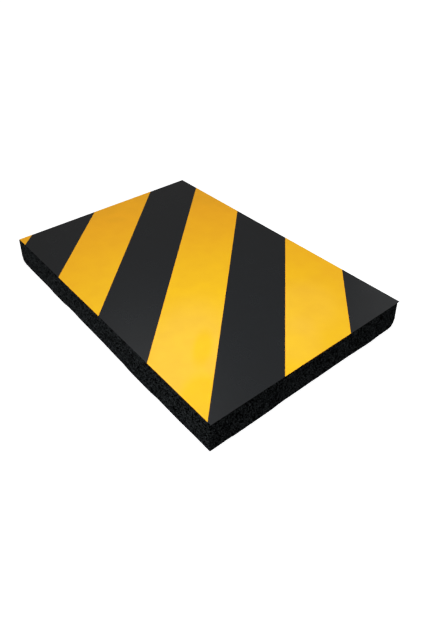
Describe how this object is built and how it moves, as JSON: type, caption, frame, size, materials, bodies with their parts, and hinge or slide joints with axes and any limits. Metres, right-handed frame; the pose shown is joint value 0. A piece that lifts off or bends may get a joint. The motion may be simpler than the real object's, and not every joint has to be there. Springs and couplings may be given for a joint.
{
  "type": "foam wall protection panel",
  "caption": "Rectangular slab of black closed-cell foam with a yellow and black striped face sheet, fixed to a wall to soften knocks and mark a hazard.",
  "frame": {"origin": "middle of the flat back, the side that goes against the wall", "axes": "+X along the long side, +Y along the short side, +Z out of the striped face"},
  "size_m": [0.6, 0.4, 0.052],
  "materials": {
    "foam": "fine open cut cells, matte",
    "printed_sheet": "satin plastic sheet, yellow and black bands at 45 degrees"
  },
  "bodies": {
    "root": {"foam_slab": "foam", "face_sheet": "printed_sheet"}
  },
  "joints": []
}
